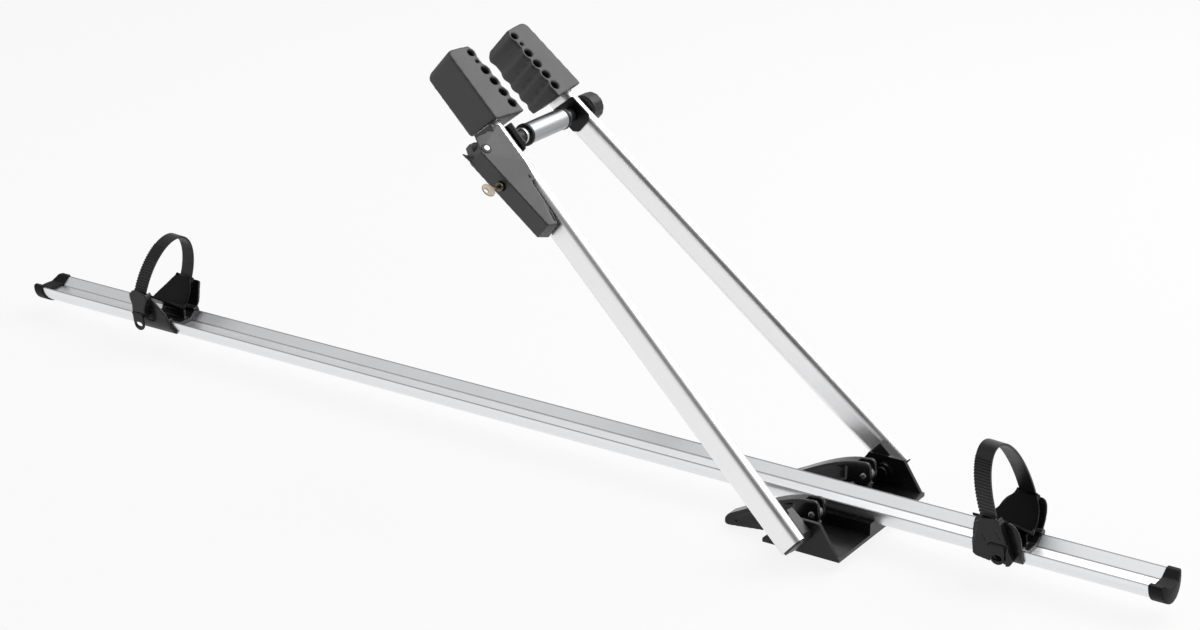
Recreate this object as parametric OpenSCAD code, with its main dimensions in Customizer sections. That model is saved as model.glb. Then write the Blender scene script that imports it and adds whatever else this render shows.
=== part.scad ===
// Roof mounted bike carrier: a wheel rail on a bar foot, a folding frame holder and two wheel cradles.
// Millimetres, +Z up, +X towards the rail's front end. The origin is the middle of the foot's
// underside, straight below the fold pivot. Near means -Y and far means +Y.

/* [Rail] */
// Length of the aluminium rail
rail_length = 1400; // [1250:1:1600]
// Distance from the fold pivot to the rail's front end
rail_front = 328; // [300:1:400]
// Width across the rail's lips
rail_width = 46; // [43:0.5:50]
// Depth from the lips to the underside
rail_depth = 21; // [20:0.5:24]
// Wall of the rail's extrusion
rail_wall = 2; // [1.6:0.1:2.4]
// Flat width of each lip
lip_width = 2; // [1.5:0.1:3]
// Depth of the wheel trough below the lips
trough_depth = 8; // [6.5:0.5:8.5]
// Width of the trough's flat floor
trough_floor = 20; // [17:0.5:23]
// Width of the fixing slot in the underside
slot_width = 9; // [8:0.5:10]
// Length of an end cap outside the rail
cap_nose = 18; // [14:1:22]
// Length of an end cap's plug inside the rail
cap_plug = 24; // [15:1:35]
// Size by which an end cap stands out round the rail
cap_rim = 1.6; // [1:0.2:2.4]
// Radius of the dome on an end cap
cap_dome = 80; // [60:1:120]

/* [Foot] */
// Length of the foot behind the fold pivot
foot_back = 42; // [40:1:50]
// Length of the foot in front of the fold pivot
foot_front = 43; // [38:1:50]
// Width of the foot over its side walls
foot_width = 180; // [172:1:190]
// Thickness of the foot's floor
foot_floor = 4; // [3:0.5:5]
// Thickness of the foot's side walls
foot_wall = 4; // [3:0.5:5]
// Height of the foot's side walls
wall_height = 35; // [33:1:42]
// Length of the side walls' top edge
wall_top = 40; // [30:1:48]
// Height of the rail's underside above the roof bar
rail_rest = 7; // [6:0.5:9]
// Height of the saddle under the rail
saddle_height = 16; // [12:0.5:18]
// Distance of the two foot bolts from the fold pivot
foot_bolt_reach = 26; // [22:1:30]
// Diameter of the foot bolts
foot_bolt_d = 6; // [5:0.5:7]

/* [Base levers] */
// Distance of a base lever from the mid-plane
lever_offset = 53.5; // [50:0.5:60]
// Width of a base lever
lever_width = 16; // [14:0.5:18]
// Length of a base lever from its rivet to the tip of its beak
beak_length = 98; // [90:1:110]
// Height of the rivet above the roof bar
rivet_z = 27.5; // [26:0.5:30]
// Distance of the rivet behind the fold pivot
rivet_back = 4; // [2:0.5:8]
// Diameter of the rivet
rivet_d = 6; // [5:0.5:7]
// Radius of the base lever's cam
base_cam_r = 12; // [11.5:0.5:13]
// Thickness of the T-bolt's flat shank
shank_thickness = 6; // [5:0.5:7]
// Width of the T-bolt's flat shank
shank_width = 8; // [7:0.5:10]
// Gap between the foot's underside and the T-bolt's head
grip = 7; // [5:0.5:9]
// Size of the T-bolt's head along the roof bar
head_length = 24; // [20:1:30]
// Size of the T-bolt's head across the roof bar
head_width = 20; // [16:1:24]
// Thickness of the T-bolt's head
head_thickness = 4; // [3:0.5:5]
// Thickness of the wear pad under a cam
pad_thickness = 2; // [1.5:0.5:3]

/* [Arms] */
// Angle of the arms above the rail
arm_angle = 41.3; // [38:0.1:46]
// Distance of an arm's axis from the mid-plane at the draw bolt
clamp_spread = 65.8; // [64:0.1:69]
// Width of the flat oval arm tube
arm_width = 30; // [28:0.5:34]
// Thickness of the flat oval arm tube
arm_thickness = 17; // [16:0.5:19]
// Wall of the arm tube
arm_wall = 2; // [1.6:0.1:2.4]
// Length of an arm inside its jaw
arm_insert = 37; // [30:1:45]
// Length of an arm below the fold pivot
arm_tail = 6; // [5:0.5:8]
// Length of the arm's inner wall that is cut away at the foot, from the fold pivot up
arm_cut = 22; // [18:0.5:26]
// Distance between the foot's side wall and the arm
shoe_reach = 12; // [11:0.5:15]
// Length of the shoe's tongue inside the arm
tongue_length = 52; // [46:1:60]
// Height of the fold pivot above the roof bar
pivot_z = 20; // [19:0.5:23]
// Diameter of the fold pivot bolts
pivot_d = 8; // [7:0.5:9]

/* [Jaws] */
// Distance from the draw bolt to the lower end of a jaw
jaw_offset = 24; // [23:0.5:28]
// Length of a jaw along the arm
jaw_length = 80.5; // [79:0.5:90]
// Width of a jaw from its outer face to its flat inner face
jaw_width = 45; // [42:0.5:48]
// Thickness of a jaw over the arm's outer face
jaw_skin = 3; // [2.5:0.5:5]
// Reach of a jaw above the arm's axis
jaw_above = 24; // [22:0.5:27]
// Reach of a jaw below the arm's axis
jaw_below = 17.5; // [17:0.5:21]
// Radius of the jaw's lower top edge
jaw_round = 9; // [8:0.5:13]
// Diameter of the large jaw holes
jaw_hole_d = 9.5; // [8:0.5:10]
// Radius of the jaw's bumps around the large holes
jaw_bump_r = 8.25; // [8:0.25:9]
// Slant of the jaw's lower end
jaw_slant = 8; // [5:0.5:9]

/* [Clamp] */
// Distance from the fold pivot to the draw bolt
bolt_reach = 486; // [450:1:530]
// Offset of the draw bolt above the arm's axis
bolt_rise = 3; // [1:0.5:4]
// Diameter of the draw bolt
bolt_d = 8; // [7:0.5:8.5]
// Diameter of the spacer tube
tube_d = 22; // [20:0.5:24]
// Length of the spacer tube
tube_length = 61.5; // [56:0.5:64]
// Distance of the spacer tube's middle from the mid-plane
tube_shift = 4.5; // [0:0.5:8]
// Thickness of the steel plates on the arms
plate_thickness = 2.5; // [2:0.5:3]
// Diameter of the clamp knob
knob_d = 30; // [26:0.5:32]
// Length of the clamp knob
knob_length = 18; // [16:0.5:20]

/* [Clamp lever] */
// Distance of the lever's pin from the arm's outer face
pin_out = 25; // [24:0.5:28]
// Diameter of the lever's pin
pin_d = 7; // [6:0.5:7.5]
// Length of the lever from its pin to its tip
clamp_lever_length = 102; // [96:1:108]
// Wall of the hollow lever
clamp_lever_wall = 3; // [2.5:0.25:3.5]
// Distance from the lever's pin to the lock
lock_reach = 37; // [32:1:42]
// Diameter of the lock barrel
lock_d = 9; // [8:0.5:10]

/* [Wheel cradles] */
// Distance of the left cradle from the rail's back end
left_cradle_inset = 183; // [150:1:235]
// Distance of the right cradle from the rail's front end
right_cradle_inset = 151; // [128:1:163]
// Length of a cradle's saddle along the rail
saddle_length = 52; // [50:1:56]
// Wall of the cradle's saddle
saddle_wall = 3; // [2.5:0.25:3.5]
// Angle at which the near wing leans out
near_wing_lean = 8; // [7:0.5:9]
// Height of the near wing above the rail's lips
near_wing_rise = 30; // [28:0.5:31]
// Angle at which the far wing leans out
far_wing_lean = 33; // [32:0.5:35]
// Length of the far wing above the rail's lips
far_wing_rise = 33; // [30:0.5:34]
// Height of the tyre pad's fold above the rail's lips
pad_rise = 8; // [7:0.25:9]
// Thickness of the tyre pad
pad_skin = 2.5; // [2:0.25:3]

/* [Straps] */
// Width of a strap
strap_width = 18; // [16:0.5:20]
// Thickness of a strap without its teeth
strap_thickness = 2.2; // [1.8:0.1:2.6]
// Height of the ratchet teeth
tooth_height = 0.9; // [0.6:0.1:1.1]
// Number of ratchet teeth
tooth_count = 19; // [14:1:22]
// Half of the strap loops' width
loop_half = 34; // [33.5:0.5:34.5]
// Rise of the left strap's loop above its buckle
left_loop_rise = 52.5; // [48:0.5:60]
// Rise of the right strap's loop above its buckle
right_loop_rise = 75; // [68:0.5:80]
// Sway of the left strap's loop, outwards over its rise
left_sway = 0.35; // [0:0.01:0.4]
// Sway of the right strap's loop, outwards over its rise
right_sway = -0.5; // [-0.55:0.01:0]
// Height of the straps' buckle mouths above the rail's lips
loop_level = 34; // [33:0.5:35]
// Place of the left strap along its saddle
left_shift = -9; // [-10:0.5:0]
// Place of the right strap along its saddle
right_shift = -2; // [-10:0.5:0]
// Angle between a strap's plane and the rail's cross-section
strap_skew = 6; // [4:0.5:7]
// Diameter of the strap's anchor pin
anchor_d = 4; // [3.5:0.25:4.5]

/* [Hidden] */
$fn = 64;

// Clearances: running pins, moving faces, and pieces that are fastened together
running = 0.05;
clear = 0.3;
fit = 0.1;
over = 1;

// Rail section: a round hull through both lips and the underside, with a trough in its top
lip_z = rail_rest + rail_depth;
hull_r = (rail_width * rail_width / 4 + rail_depth * rail_depth) / (2 * rail_depth);
hull_z = rail_rest + hull_r;
rail_back = rail_front - rail_length;
cap_step = 2;
trough_z = lip_z - trough_depth;
trough_top = rail_width / 2 - lip_width;
trough_slope = trough_depth / (trough_top - trough_floor / 2);
web_drop = rail_wall * sqrt(1 + trough_slope * trough_slope);
floor_groove = 1.8;
lip_groove = 1.2;
nut_half = slot_width / 2 + 3;
nut_z = hull_z - sqrt(pow(hull_r - rail_wall, 2) - nut_half * nut_half) + fit;
nut_thickness = 4;
nut_length = 18;
bolt_head_d = 1.7 * foot_bolt_d;
bolt_head_z = 0.5;
bolt_head_h = 3.5;

// Foot and fold pivot
foot_half = foot_width / 2;
saddle_half = hull_r + foot_wall;
boss_d = 2.2 * pivot_d;
boss_length = 6;
pivot_head_d = 1.6 * pivot_d;
pivot_head_h = 5;
pivot_end = foot_half + shoe_reach + 1;
far_bolt_slack = 0.35;

// Base levers and T-bolts
rivet_x = -rivet_back;
base_throw = 4;
panel_depth = 1.5;
cam_pad_z = rivet_z - base_cam_r - clear;
cam_pad_front = 3;
cam_pad_back = 11;
fork_gap = shank_thickness / 2 + clear;
fork_back = 10;
eye_r = rivet_d / 2 + 4;

// Arms: distance of an arm's axis from the mid-plane at a height along the holder
arm_spread = foot_half + shoe_reach + arm_thickness / 2;
arm_lean = atan((arm_spread - clamp_spread) / bolt_reach);
jaw_start = bolt_reach + jaw_offset;
arm_length = jaw_start + arm_insert;
function arm_y(reach) = arm_spread - reach * tan(arm_lean);
arm_half = arm_thickness / 2 / cos(arm_lean);

// Jaws: the holes run across the jaw, with a small one second from the top
jaw_outer = arm_y(jaw_start) + arm_thickness / 2 + jaw_skin;
jaw_inner = jaw_outer - jaw_width;
jaw_end = jaw_start + jaw_length;
hole_pitch = 14.5;
hole_first = 5.3;
hole_row = jaw_inner + jaw_bump_r - 0.45;
jaw_valley = 3;
small_hole_d = 4.5;
small_bump_r = 5.5;
jaw_holes = [for (i = [0:3]) jaw_start + hole_first + i * hole_pitch];
top_hole = jaw_end - jaw_bump_r - 0.25;
small_hole = (top_hole + jaw_holes[3]) / 2 + 0.5;
jaw_corner = 6;
jaw_screw_d = 5;
jaw_screw_up = 24;
jaw_screw_reach = jaw_start + jaw_screw_up;

// Clamp stack along the draw bolt, counted from the mid-plane
pin_y = arm_y(bolt_reach) + arm_half + pin_out;
arm_inner = arm_y(bolt_reach) - arm_half;
bush_d = 15;
bush_slope = bush_d / 2 * tan(arm_lean);
stack_end = arm_inner - plate_thickness - bush_slope - 2 * fit;
ring_length = 4;
ring_d = tube_d + 1.5;
washer_d = tube_d - 5;
washer_length = 5;
tube_near = tube_length / 2 - tube_shift;
tube_far = tube_length / 2 + tube_shift;
plate_low = 15;
plate_corner = 5;
plate_high = jaw_start - jaw_slant - bolt_reach - 1;
plate_below = 10;
plate_above = 19;
plate_slant = jaw_slant * (plate_below + plate_above) / (jaw_below + jaw_above);
knob_start = arm_y(bolt_reach) + arm_half + knob_d / 2 * tan(arm_lean) + clear;
nut_wall = 3;
bolt_end = knob_start + knob_length - 3;

// Clamp lever, in a frame at its pin: X across, Y towards the arm, Z along the arm
seat_thickness = 2.5;
seat_left = -11;
seat_right = 9;
seat_low = 11;
seat_high = 9;
cam_in = 3.06;
cam_down = 2.57;
face_y = pin_out * cos(arm_lean);
cam_r = face_y - seat_thickness - clear - cam_in;
cam_top = cam_r - cam_down;
lever_low = -15;
lever_high = arm_width / 2 - bolt_rise + clear + clamp_lever_wall;
crease_x = 5.5;
tip_rise = 4;
strip_step = 2;
lever_end = 10;
lever_pocket = 14;
lever_spur = 14;
strip_top = [-9.5, -1];
strip_tip = [8, tip_rise - clamp_lever_length];
eye_half = 4.3;
eye_wall = 3;
bolt_eye_r = pin_d / 2 + eye_wall;
lever_rise = 19;
lever_back = face_y - clear - 1.2;
lock_out = 4;
lock_in = 3;
plug_d = lock_d - 3;
key_width = 3.6;
key_neck = 8;
key_thickness = 1.2;
lever_hug = 4;
pin_recess = 5;
pin_high = crease_x + 0.8;
lever_taper = 3.4;
lever_shoulder = 6;
tip_drop = 5;
scoop_r = 2.2;
scoop_top = [0.75 * lever_high, 0.84 * lever_back, -0.66 * clamp_lever_length];
scoop = [0.61 * lever_high, 0.7 * lever_back, -0.95 * clamp_lever_length] - scoop_top;

// Cradle frames
left_cradle_x = rail_back + left_cradle_inset;
right_cradle_x = rail_front - right_cradle_inset;
anchor_turn = 183;
near_turn = 0;
loop_z = lip_z + loop_level;
saddle_r = hull_r + clear + saddle_wall;
wing_inset = 0.5;
skirt_r = saddle_r + wing_inset;
skirt_z = rail_rest + 6.5;
rib_inset = 9;
rib_width = 4;
left_slant = 23;
left_bulge = 0.4;
left_wing_right = -0.12;
right_wing_right = 0.15;
pad_z = lip_z + pad_rise;
pad_y = 5;
petal_cover = 0.4;
flap_lean = 56;
buckle_depth = 10;
buckle_half = 12;
left_outline = [
    [-1.12, 0.15], [0.48, 0.15], [0.5, 0.32], [0.62, 0.56], [0.96, 0.78], [1.12, 0.94], [1, 1.03], [0.62, 1.1],
    [0, 1.15], [-0.71, 1.1], [-1.12, 0.96], [-1.12, 0.79], [-0.96, 0.59], [-1.04, 0.35]];
right_outline = [
    [-1.29, 0.03], [-1.25, -0.18], [-1, -0.26], [0.75, -0.34], [1.42, -0.4], [1.92, -0.35], [2.12, -0.24],
    [1.54, 0.44], [1.04, 1], [0.75, 1.12], [-0.46, 1.03], [-0.96, 0.85], [-0.96, 0.59]];
left_slots = [];
right_slots = [[[-0.47, 0.54], [-0.09, 0.31]], [[0.74, 0.73], [1.16, 0.45]]];
mark_depth = 1.2;
mark_width = 1.4;
left_tab_x = -4;
right_tab_x = 11;
buckle_high = near_wing_rise + over + 3;
buckle_gap = saddle_wall / 2 + fit;
slot_near = 1.4;
slot_depth = 6;
tab_pin_d = 3;
tab_eye_r = tab_pin_d / 2 + 1;
tab_skin = 3;
tab_half = 7.5;
tab_pin_half = tab_half + 1.5;
tab_axis_y = -buckle_depth + 1;
tab_axis_z = 8;
tab_length = 20;

// Points on a quadratic curve between two ends
function curve(a, b, c, steps = 8) =
    [for (i = [0:steps]) let (t = i / steps) (1 - t) * (1 - t) * a + 2 * t * (1 - t) * b + t * t * c];

// A flat profile drawn in Y and Z, extruded along X
module along_x(start, length) {
    translate([start, 0, 0]) rotate([90, 0, 90]) linear_extrude(length) children();
}

// A flat profile drawn in X and Z, extruded along Y
module along_y(start, length) {
    translate([0, start + length, 0]) rotate([90, 0, 0]) linear_extrude(length) children();
}

// A round bar along Y
module bar_y(start, length, d) {
    translate([0, start, 0]) rotate([-90, 0, 0]) cylinder(h = length, d = d);
}

// A round bar along X
module bar_x(start, length, d) {
    translate([start, 0, 0]) rotate([0, 90, 0]) cylinder(h = length, d = d);
}

// A flat oval: its width along X and its thickness along Y
module oval(width, thickness) {
    square([width - thickness, thickness], center = true);
    for (side = [-1, 1]) translate([side * (width - thickness) / 2, 0]) circle(d = thickness);
}

// Rail

module trough_2d(gap = 0) {
    polygon([
        [-trough_top + gap, lip_z + 2 * rail_depth], [-trough_top + gap, lip_z],
        [-trough_floor / 2 + gap / 2, trough_z + gap], [trough_floor / 2 - gap / 2, trough_z + gap],
        [trough_top - gap, lip_z], [trough_top - gap, lip_z + 2 * rail_depth]]);
}

module hull_2d(grow = 0, top = 0) {
    intersection() {
        translate([0, hull_z]) circle(r = hull_r + grow, $fn = 128);
        translate([-hull_r - grow - over, rail_rest - grow - over])
            square([2 * (hull_r + grow + over), rail_depth + grow + over + top]);
    }
}

module chamber_2d(gap = 0) {
    corner = lip_z - trough_depth - web_drop - gap;
    edge = lip_z + lip_width * trough_slope - web_drop - gap;
    intersection() {
        translate([0, hull_z]) circle(r = hull_r - rail_wall - gap, $fn = 128);
        polygon([
            [-rail_width / 2, edge], [-trough_floor / 2, corner], [trough_floor / 2, corner],
            [rail_width / 2, edge], [rail_width / 2, 0], [-rail_width / 2, 0]]);
    }
}

module rail() {
    color("silver") along_x(rail_back, rail_length) difference() {
        hull_2d();
        trough_2d();
        chamber_2d();
        translate([-slot_width / 2, rail_rest - over]) square([slot_width, trough_depth]);
        for (side = [-1, 1]) {
            translate([side * trough_floor / 2, trough_z]) circle(d = floor_groove);
            translate([side * (trough_top + lip_width / 2), lip_z]) circle(d = lip_groove);
        }
    }
}

// End cap built for the front end, with its dome towards +X
module end_cap() {
    intersection() {
        along_x(fit, cap_nose) difference() {
            hull_2d(cap_rim, cap_rim);
            translate([0, cap_step]) trough_2d(cap_rim);
        }
        translate([cap_nose - cap_dome, 0, (lip_z + rail_rest) / 2]) sphere(r = cap_dome, $fn = 128);
    }
    along_x(-cap_plug, cap_plug + 2 * fit) difference() {
        chamber_2d(fit);
        translate([-slot_width / 2, rail_rest - over]) square([slot_width, 4 * rail_wall]);
    }
}

module right_end_cap() {
    color("black") translate([rail_front, 0, 0]) end_cap();
}

module left_end_cap() {
    color("black") translate([rail_back, 0, 0]) mirror([1, 0, 0]) end_cap();
}

// Foot

module foot_wall_2d() {
    polygon([[-foot_back, 0], [foot_front, 0], [wall_top / 2, wall_height], [-wall_top / 2, wall_height]]);
}

// Both sides of the foot, mirrored about the mid-plane
module both_sides() {
    for (side = [0, 1]) mirror([0, side, 0]) children();
}

module foot() {
    color("black") difference() {
        union() {
            translate([-foot_back, -foot_half, 0]) cube([foot_back + foot_front, foot_width, foot_floor]);
            translate([-foot_back, -saddle_half, 0])
                cube([foot_back + foot_front, 2 * saddle_half, saddle_height]);
            both_sides() {
                along_y(-foot_half, foot_wall) foot_wall_2d();
                translate([0, 0, pivot_z]) bar_y(-foot_half + foot_wall - over, boss_length + over, boss_d);
                translate([rivet_x - cam_pad_back, -lever_offset - lever_width / 2 - over, 0])
                    cube([cam_pad_back + cam_pad_front, lever_width + 2 * over, cam_pad_z - pad_thickness]);
            }
        }
        translate([0, 0, hull_z]) bar_x(-foot_back - over, foot_back + foot_front + 2 * over, 2 * (hull_r + fit));
        for (x = [-foot_bolt_reach, foot_bolt_reach]) translate([x, 0, -over]) {
            cylinder(h = saddle_height, d = foot_bolt_d + 2 * fit);
            cylinder(h = over + bolt_head_z + bolt_head_h, d = bolt_head_d + 2 * fit);
        }
        both_sides() {
            translate([0, 0, pivot_z])
                bar_y(-foot_half - over, foot_wall + boss_length + 2 * over, pivot_d + 2 * fit);
            shank_hole();
        }
    }
}

// Slot that a T-bolt's shank slides in, on the near side
module shank_hole() {
    translate([rivet_x, -lever_offset, 0])
        cube([shank_width + 2 * clear, shank_thickness + 2 * clear, 4 * cam_pad_z], center = true);
}

module foot_bolts() {
    color("dimgray") for (x = [-foot_bolt_reach, foot_bolt_reach]) translate([x, 0, bolt_head_z]) {
        cylinder(h = bolt_head_h, d = bolt_head_d);
        cylinder(h = nut_z + nut_thickness - bolt_head_z + over, d = foot_bolt_d);
    }
}

module slide_nuts() {
    color("dimgray") for (x = [-foot_bolt_reach, foot_bolt_reach]) translate([x, 0, nut_z]) difference() {
        translate([-nut_length / 2, -nut_half, 0]) cube([nut_length, 2 * nut_half, nut_thickness]);
        translate([0, 0, -over]) cylinder(h = nut_thickness + 2 * over, d = foot_bolt_d + 2 * running);
    }
}

module cam_pads() {
    color("silver") both_sides() difference() {
        translate([rivet_x - cam_pad_back, -lever_offset - lever_width / 2, cam_pad_z - pad_thickness])
            cube([cam_pad_back + cam_pad_front, lever_width, pad_thickness]);
        shank_hole();
    }
}

module pivot_bolts() {
    color("silver") both_sides() translate([0, 0, pivot_z]) {
        bar_y(-pivot_end, pivot_end - foot_half + foot_wall + boss_length, pivot_d);
        bar_y(-foot_half + foot_wall + boss_length, pivot_head_h, pivot_head_d);
    }
}

// Base levers

// Point on a base lever's side: shares of its length behind the rivet, and of the rivet's height above it
function beside_rivet(back, height) = [rivet_x - back * beak_length, rivet_z + height * rivet_z];

module base_lever_2d() {
    polygon(concat(
        curve(beside_rivet(-0.07, -0.07), beside_rivet(-0.09, 0.51), beside_rivet(-0.02, 0.53), 5),
        curve(beside_rivet(0.12, 0.47), beside_rivet(0.35, 0.33), beside_rivet(0.73, -0.44)),
        curve(beside_rivet(0.96, -0.87), beside_rivet(1.01, -1.04), beside_rivet(1, -1.15), 4),
        curve(beside_rivet(1, -1.22), beside_rivet(0.99, -1.33), beside_rivet(0.94, -1.31), 4),
        [beside_rivet(0.72, -1.22), beside_rivet(0.55, -1.15), beside_rivet(0.43, -0.89), beside_rivet(0.33, -0.67),
         [rivet_x - base_throw, rivet_z - base_cam_r / 2]]));
    translate([rivet_x - base_throw, rivet_z]) circle(r = base_cam_r);
}

module near_base_lever() {
    color("black") difference() {
        along_y(-lever_offset - lever_width / 2, lever_width) base_lever_2d();
        for (y = [-lever_width / 2 - over, lever_width / 2 - panel_depth])
            along_y(-lever_offset + y, panel_depth + over) polygon(concat(
                curve(beside_rivet(0.2, 0.24), beside_rivet(0.4, 0.1), beside_rivet(0.72, -0.62)),
                [beside_rivet(0.88, -0.98), beside_rivet(0.86, -1.1), beside_rivet(0.72, -1.08), beside_rivet(0.58, -1),
                 beside_rivet(0.47, -0.76), beside_rivet(0.36, -0.52), beside_rivet(0.2, -0.3)]));
        translate([rivet_x - fork_back, -lever_offset - fork_gap, 0])
            cube([fork_back + 4 * base_cam_r, 2 * fork_gap, 4 * rivet_z]);
        translate([rivet_x, 0, rivet_z])
            bar_y(-lever_offset - lever_width, 2 * lever_width, rivet_d + 2 * running);
    }
}

module near_rivet() {
    color("silver") translate([rivet_x, 0, rivet_z])
        bar_y(-lever_offset - lever_width / 2 - over, lever_width + 2 * over, rivet_d);
}

module near_t_bolt() {
    color("gray") difference() {
        union() {
            along_y(-lever_offset - shank_thickness / 2, shank_thickness) {
                translate([rivet_x, rivet_z]) circle(r = eye_r);
                translate([rivet_x - shank_width / 2, -grip - fit]) square([shank_width, grip + fit + rivet_z]);
            }
            translate([rivet_x - head_width / 2, -lever_offset - head_length / 2, -grip - head_thickness])
                cube([head_width, head_length, head_thickness]);
        }
        translate([rivet_x, 0, rivet_z]) bar_y(-lever_offset - lever_width, 2 * lever_width, rivet_d);
    }
}

module far_base_lever() {
    mirror([0, 1, 0]) near_base_lever();
}

module far_rivet() {
    mirror([0, 1, 0]) near_rivet();
}

module far_t_bolt() {
    mirror([0, 1, 0]) near_t_bolt();
}

// Frame holder: X across the arms and upwards, Y as the rail's, Z along the arms, from the fold pivot
module on_holder() {
    translate([0, 0, pivot_z]) rotate([0, arm_angle - 90, 0]) children();
}

// Near arm: Y towards the mid-plane, Z along the leaning arm
module on_near_arm() {
    on_holder() translate([0, -arm_spread, 0]) rotate([-arm_lean, 0, 0]) children();
}

module arm(bolt_hole) {
    difference() {
        on_near_arm() translate([0, 0, -arm_tail]) linear_extrude(arm_tail + arm_length) difference() {
            oval(arm_width, arm_thickness);
            oval(arm_width - 2 * arm_wall, arm_thickness - 2 * arm_wall);
        }
        on_near_arm() translate([-arm_width, arm_thickness / 2 - arm_wall - fit, -2 * arm_tail])
            cube([2 * arm_width, arm_thickness, 2 * arm_tail + arm_cut]);
        on_holder() translate([bolt_rise, 0, bolt_reach]) bar_y(-pin_y, pin_y, bolt_hole);
        jaw_screw_hole();
    }
}

// Hole for the screw that holds the near jaw, from its underside into the arm
module jaw_screw_hole() {
    on_near_arm() translate([-arm_width, 0, jaw_screw_reach])
        bar_x(-jaw_below, jaw_below + arm_width - arm_width / 4, jaw_screw_d + 2 * fit);
}

module near_arm() {
    color("silver") arm(bolt_d + 2 * clear);
}

module far_arm() {
    color("silver") mirror([0, 1, 0]) arm(bolt_d + 4 * clear);
}

module shoe(bore) {
    width = arm_width - 2 * arm_wall - 2 * fit;
    thickness = arm_thickness - 2 * arm_wall - 2 * fit;
    heel = 6;
    neck = arm_width - arm_thickness - 2 * fit;
    shoe_lip = 4;
    end = -arm_tail - 2;
    difference() {
        union() {
            on_near_arm() translate([0, 0, end]) linear_extrude(tongue_length)
                oval(width, thickness);
            intersection() {
                on_near_arm() union() {
                    translate([-neck / 2, 0, end]) cube([neck, arm_thickness, arm_cut - fit - end]);
                    along_y(thickness / 2 + 2 * fit, 2 * shoe_reach) polygon([
                        [-width / 2, end], [width / 2 - heel, end],
                        [width / 2, end + heel], [width / 2, arm_cut - fit],
                        [-width / 2, arm_cut - fit]]);
                    translate([-width / 2, arm_thickness / 2 + fit, 0])
                        cube([width, 2 * shoe_reach, arm_cut + shoe_lip]);
                }
                translate([-arm_length, -2 * arm_spread, -arm_length])
                    cube([2 * arm_length, 2 * arm_spread - foot_half - clear, 2 * arm_length]);
            }
        }
        translate([0, 0, pivot_z]) bar_y(-pivot_end - 1, pivot_end, bore);
    }
}

module near_shoe() {
    color("black") shoe(pivot_d + 2 * running);
}

module far_shoe() {
    color("black") mirror([0, 1, 0]) shoe(pivot_d + 2 * far_bolt_slack);
}

// Jaws

module jaw_side_2d() {
    bottom = jaw_start - jaw_slant - over;
    flat = jaw_inner + jaw_valley;
    outer_top = jaw_outer - jaw_length * tan(arm_lean);
    top = jaw_end + (outer_top - jaw_inner) * tan(arm_lean);
    polygon(concat(
        [[-jaw_inner, bottom], [-jaw_inner, jaw_holes[0]], [-flat, jaw_holes[0] + jaw_valley], [-flat, jaw_end]],
        curve([-outer_top + 1.5 * jaw_corner, top - over], [-outer_top, top], [-outer_top - over, top - 1.5 * jaw_corner]),
        [[-jaw_outer - (jaw_start - bottom) * tan(arm_lean), bottom]]));
    for (reach = jaw_holes) translate([-hole_row, reach]) circle(r = jaw_bump_r);
    translate([-hole_row - 1, small_hole]) circle(r = small_bump_r);
    translate([-hole_row, top_hole]) circle(r = jaw_bump_r - 1);
}

module jaw_end_2d() {
    difference() {
        polygon([[-jaw_below, jaw_start], [jaw_above, jaw_start - jaw_slant],
                 [jaw_above, jaw_end + over], [-jaw_below, jaw_end + over]]);
        translate([-jaw_below - over, jaw_end - jaw_round]) difference() {
            square([jaw_round + over, jaw_round + 2 * over]);
            translate([jaw_round + over, 0]) circle(r = jaw_round);
        }
    }
}

module jaw() {
    difference() {
        on_holder() difference() {
            intersection() {
                translate([-jaw_below, 0, 0]) along_x(0, jaw_below + jaw_above) jaw_side_2d();
                translate([0, -jaw_inner, jaw_start]) rotate([-arm_lean, 0, 0]) translate([0, 0, -jaw_start])
                    along_y(-2 * jaw_width, 3 * jaw_width) jaw_end_2d();
            }
            for (reach = jaw_holes) translate([0, -hole_row, reach])
                bar_x(-2 * jaw_below, 4 * jaw_above, jaw_hole_d);
            translate([0, -hole_row - 1, small_hole]) bar_x(-2 * jaw_below, 4 * jaw_above, small_hole_d);
            translate([0, -hole_row, top_hole]) bar_x(-2 * jaw_below, 4 * jaw_above, jaw_hole_d - 1.5);
        }
        on_near_arm() linear_extrude(arm_length + fit) oval(arm_width + 2 * fit, arm_thickness + 2 * fit);
        jaw_screw_hole();
    }
}

module near_jaw() {
    color("dimgray") jaw();
}

module far_jaw() {
    color("dimgray") mirror([0, 1, 0]) jaw();
}

module near_jaw_screw() {
    color("silver") on_near_arm() translate([0, 0, jaw_screw_reach])
        bar_x(-jaw_below + 1, jaw_below - arm_width / 2 + arm_wall + 3, jaw_screw_d);
}

module far_jaw_screw() {
    mirror([0, 1, 0]) near_jaw_screw();
}

// Clamp

// A ring on the draw bolt, from one distance across to another
module on_bolt(start, length, d, bore) {
    on_holder() translate([bolt_rise, 0, bolt_reach]) difference() {
        bar_y(start, length, d);
        bar_y(start - over, length + 2 * over, bore);
    }
}

module plate(bore) {
    difference() {
        on_near_arm() translate([0, 0, bolt_reach]) along_y(arm_thickness / 2 + fit, plate_thickness) polygon([
            [-plate_below, plate_high + plate_slant], [-plate_below, plate_corner - plate_low], [plate_corner - plate_below, -plate_low],
            [plate_above - plate_corner, -plate_low], [plate_above, plate_corner - plate_low], [plate_above, plate_high]]);
        on_holder() translate([bolt_rise, 0, bolt_reach]) bar_y(-pin_y, pin_y, bore);
    }
}

module near_plate() {
    color("lightgray") plate(bolt_d + 2 * clear);
}

module far_plate() {
    color("lightgray") mirror([0, 1, 0]) plate(bolt_d + 4 * clear);
}

module spacer_tube() {
    color("silver") on_bolt(-tube_near, tube_length, tube_d, bolt_d + 2 * clear);
}

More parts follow.
